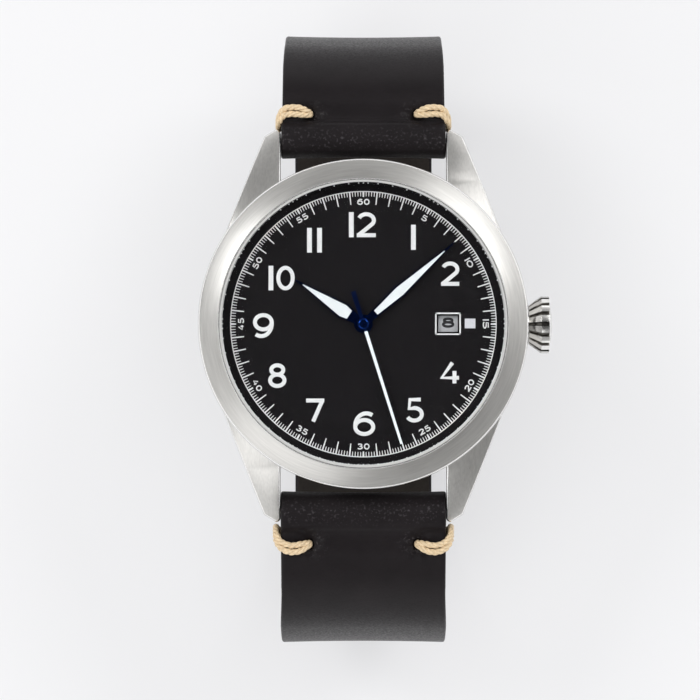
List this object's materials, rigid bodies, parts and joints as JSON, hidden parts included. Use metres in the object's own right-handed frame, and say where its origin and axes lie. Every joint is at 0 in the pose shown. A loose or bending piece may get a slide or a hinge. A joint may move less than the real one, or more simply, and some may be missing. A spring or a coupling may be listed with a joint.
{
  "type": "field watch",
  "caption": "Round steel field watch with a fluted crown, black dial, blued hands and a folded leather strap with edge stitches, buckled in a closed loop.",
  "frame": {"origin": "middle of the fixed keeper's outer face, which the watch stands on, under the dial's centre", "axes": "+Z out of the dial, along the hands' axis; +Y towards 12 o'clock; +X towards the crown at 3 o'clock"},
  "size_m": [0.0429, 0.0766, 0.0553],
  "materials": {
    "brushed_steel": "brushed",
    "polished_steel": "polished",
    "gilt_brass": "gilt, satin",
    "black_leather": "grained, waxed",
    "gasket_rubber": "smooth",
    "crystal_glass": "clear, polished",
    "holder_plastic": "moulded",
    "nickel_plate": "nickel plated",
    "blued_steel": "heat blued",
    "date_white": "printed",
    "dial_black": "matt",
    "lume_white": "luminous paint",
    "hand_white": "painted",
    "waxed_thread": "waxed, twisted"
  },
  "bodies": {
    "watch": {"case_body": "brushed_steel", "caseback": "brushed_steel", "caseback_gasket": "gasket_rubber", "bezel": "brushed_steel", "crystal": "crystal_glass", "crystal_gasket": "gasket_rubber", "rehaut_ring": "polished_steel", "movement_holder": "holder_plastic", "main_plate": "nickel_plate", "barrel_bridge": "nickel_plate", "train_bridge": "nickel_plate", "balance_cock": "nickel_plate", "bridge_screws": "blued_steel", "barrel_arbor": "polished_steel", "dial": "dial_black", "rotor_screw": "blued_steel", "crown_tube": "polished_steel", "spring_bar_tubes": "polished_steel", "strap_short": "black_leather", "strap_long": "black_leather", "stitches_12": "waxed_thread", "stitches_6": "waxed_thread", "buckle_frame": "brushed_steel", "buckle_pin": "polished_steel", "fixed_keeper": "black_leather"},
    "seconds": {"fourth_wheel": "gilt_brass", "seconds_hand": "hand_white"},
    "third": {"third_wheel": "gilt_brass"},
    "minutes": {"centre_wheel": "gilt_brass", "cannon_pinion": "polished_steel", "minute_hand": "blued_steel", "minute_lume": "lume_white"},
    "mainspring_barrel": {"barrel": "gilt_brass"},
    "minute_work": {"minute_wheel": "gilt_brass"},
    "hours": {"hour_wheel": "gilt_brass", "hour_hand": "blued_steel", "hour_lume": "lume_white"},
    "escape": {"escape_wheel": "polished_steel"},
    "fork": {"pallet_fork": "polished_steel"},
    "balance": {"balance_wheel": "gilt_brass", "hairspring": "blued_steel"},
    "date": {"date_ring": "date_white"},
    "winding_rotor": {"rotor": "nickel_plate"},
    "clutch": {"sliding_pinion": "polished_steel"},
    "crown_stem": {"crown": "polished_steel", "crown_gasket": "gasket_rubber", "winding_stem": "polished_steel"},
    "lever": {"setting_lever": "polished_steel"},
    "tip_12_left": {"spring_bar_tip_12_left": "polished_steel"},
    "tip_12_right": {"spring_bar_tip_12_right": "polished_steel"},
    "tip_6_left": {"spring_bar_tip_6_left": "polished_steel"},
    "tip_6_right": {"spring_bar_tip_6_right": "polished_steel"},
    "tang": {"buckle_tang": "polished_steel"},
    "sliding_keeper": {"free_keeper": "black_leather"}
  },
  "joints": [
    {"name": "seconds_turn", "type": "hinge", "parent": "watch", "child": "seconds", "pos_m": [0, 0, 0.04841], "axis": [0, 0, 1], "continuous": true},
    {"name": "third_turn", "type": "hinge", "parent": "watch", "child": "third", "pos_m": [-0.00383, -0.0014, 0.04841], "axis": [0, 0, 1], "continuous": true},
    {"name": "minutes_turn", "type": "hinge", "parent": "watch", "child": "minutes", "pos_m": [0, 0, 0.04841], "axis": [0, 0, 1], "continuous": true},
    {"name": "barrel_turn", "type": "hinge", "parent": "watch", "child": "mainspring_barrel", "pos_m": [0.00201, 0.00553, 0.04841], "axis": [0, 0, 1], "continuous": true},
    {"name": "minute_work_turn", "type": "hinge", "parent": "watch", "child": "minute_work", "pos_m": [-0.0027, 0.00156, 0.04841], "axis": [0, 0, 1], "continuous": true},
    {"name": "hours_turn", "type": "hinge", "parent": "watch", "child": "hours", "pos_m": [0, 0, 0.04841], "axis": [0, 0, 1], "continuous": true},
    {"name": "escape_turn", "type": "hinge", "parent": "watch", "child": "escape", "pos_m": [-0.00034, -0.00384, 0.04841], "axis": [0, 0, 1], "continuous": true},
    {"name": "fork_rock", "type": "hinge", "parent": "watch", "child": "fork", "pos_m": [0.00189, -0.00548, 0.04868], "axis": [0, 0, 1], "range_deg": [-5, 5]},
    {"name": "balance_swing", "type": "hinge", "parent": "watch", "child": "balance", "pos_m": [0.0041, -0.0071, 0.04797], "axis": [0, 0, 1], "range_deg": [-150, 150], "stiffness_Nm_per_rad": 0.0000005},
    {"name": "date_turn", "type": "hinge", "parent": "watch", "child": "date", "pos_m": [0, 0, 0.05078], "axis": [0, 0, 1], "continuous": true},
    {"name": "rotor_turn", "type": "hinge", "parent": "watch", "child": "winding_rotor", "pos_m": [0, 0, 0.046], "axis": [0, 0, 1], "continuous": true},
    {"name": "crown_turn", "type": "hinge", "parent": "watch", "child": "clutch", "pos_m": [0.008, 0, 0.0497], "axis": [1, 0, 0], "continuous": true},
    {"name": "crown_pull", "type": "slide", "parent": "clutch", "child": "crown_stem", "axis": [1, 0, 0], "range_m": [0, 0.0012]},
    {"name": "lever_turn", "type": "hinge", "parent": "watch", "child": "lever", "pos_m": [0.0109, 0.003, 0.04875], "axis": [0, 0, 1], "range_deg": [0, 23.02]},
    {"name": "tip_12_left_press", "type": "slide", "parent": "watch", "child": "tip_12_left", "axis": [1, 0, 0], "range_m": [0, 0.001], "stiffness_N_per_m": 500},
    {"name": "tip_12_right_press", "type": "slide", "parent": "watch", "child": "tip_12_right", "axis": [-1, 0, 0], "range_m": [0, 0.001], "stiffness_N_per_m": 500},
    {"name": "tip_6_left_press", "type": "slide", "parent": "watch", "child": "tip_6_left", "axis": [1, 0, 0], "range_m": [0, 0.001], "stiffness_N_per_m": 500},
    {"name": "tip_6_right_press", "type": "slide", "parent": "watch", "child": "tip_6_right", "axis": [-1, 0, 0], "range_m": [0, 0.001], "stiffness_N_per_m": 500},
    {"name": "tang_turn", "type": "hinge", "parent": "watch", "child": "tang", "pos_m": [0, -0.005, 0.00565], "axis": [1, 0, 0], "range_deg": [0, 2.5]},
    {"name": "keeper_slide", "type": "slide", "parent": "watch", "child": "sliding_keeper", "axis": [0, 1, 0], "range_m": [-0.003, 0.003]}
  ],
  "couplings": [
    {"joint": "third_turn", "follows": "seconds_turn", "ratio": -0.125},
    {"joint": "minutes_turn", "follows": "seconds_turn", "ratio": 0.016667},
    {"joint": "barrel_turn", "follows": "seconds_turn", "ratio": -0.0027778},
    {"joint": "minute_work_turn", "follows": "seconds_turn", "ratio": -0.0055556},
    {"joint": "hours_turn", "follows": "seconds_turn", "ratio": 0.0013889},
    {"joint": "escape_turn", "follows": "seconds_turn", "ratio": -10},
    {"joint": "lever_turn", "follows": "crown_pull", "rad_per_m": 333.33}
  ]
}
